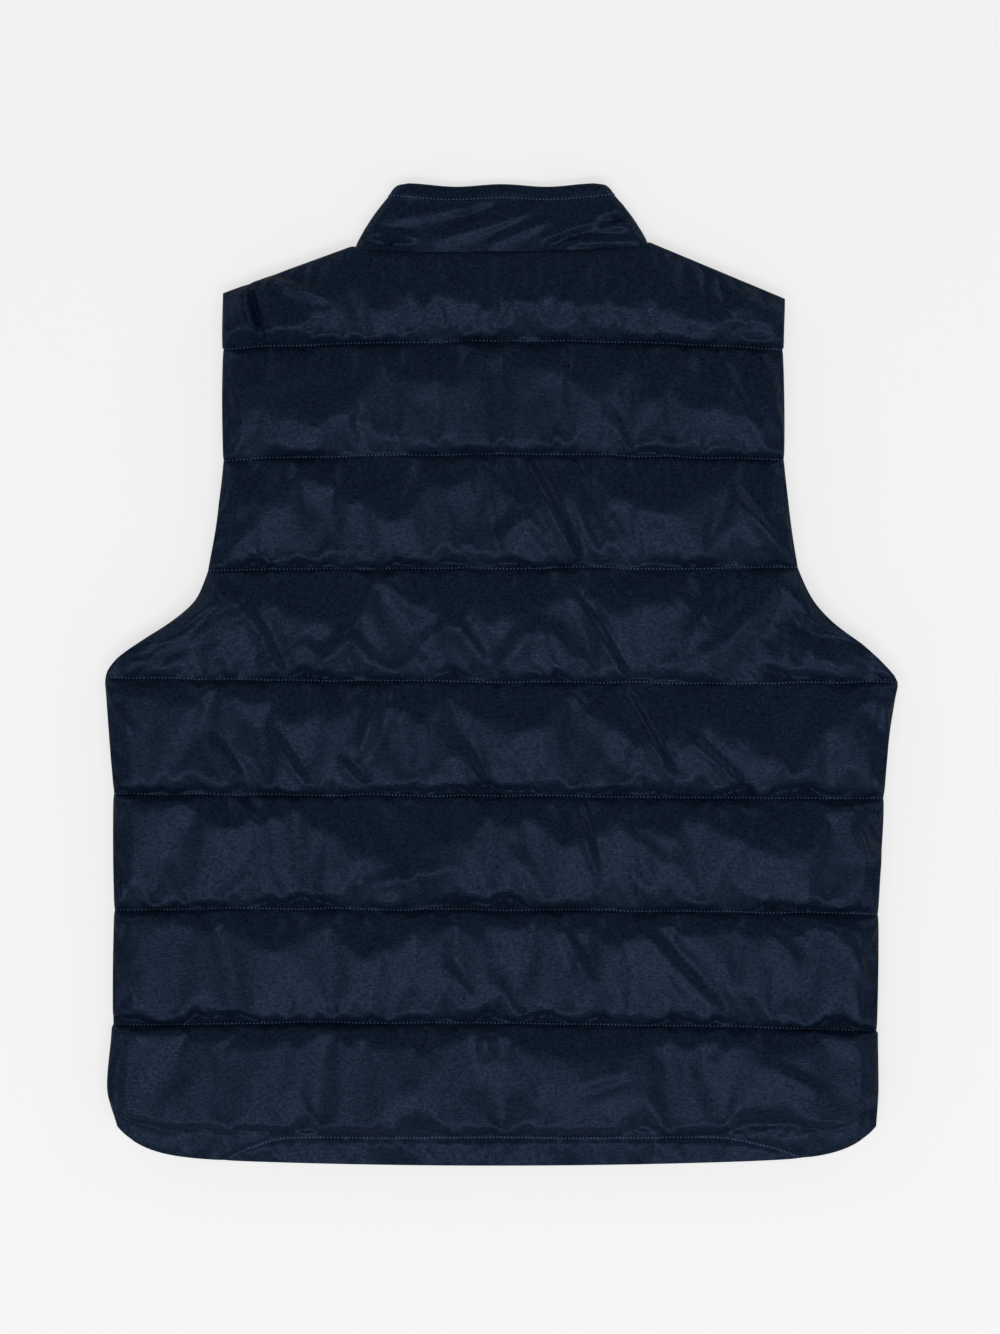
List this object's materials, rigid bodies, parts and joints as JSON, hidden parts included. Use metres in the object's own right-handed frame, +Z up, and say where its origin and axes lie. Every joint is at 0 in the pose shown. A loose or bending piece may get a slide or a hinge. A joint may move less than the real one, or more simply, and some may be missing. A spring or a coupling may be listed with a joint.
{
  "type": "reversible quilted vest",
  "caption": "Sleeveless padded vest with a stand collar and horizontal channel quilting, laid flat on its fronts with the back upwards and its front zip closed.",
  "frame": {"origin": "on the surface that the vest lies on, below the centre of its outline", "axes": "+Z up from the surface, +Y from the hem towards the collar, +X to the wearer's right across the back"},
  "size_m": [0.5636, 0.7, 0.023],
  "materials": {
    "shell": "satin",
    "collar_shell": "satin",
    "zip": "matte"
  },
  "bodies": {
    "root": {"back": "shell", "front_left": "shell", "front_right": "shell", "collar": "collar_shell", "zip": "zip"}
  },
  "joints": []
}
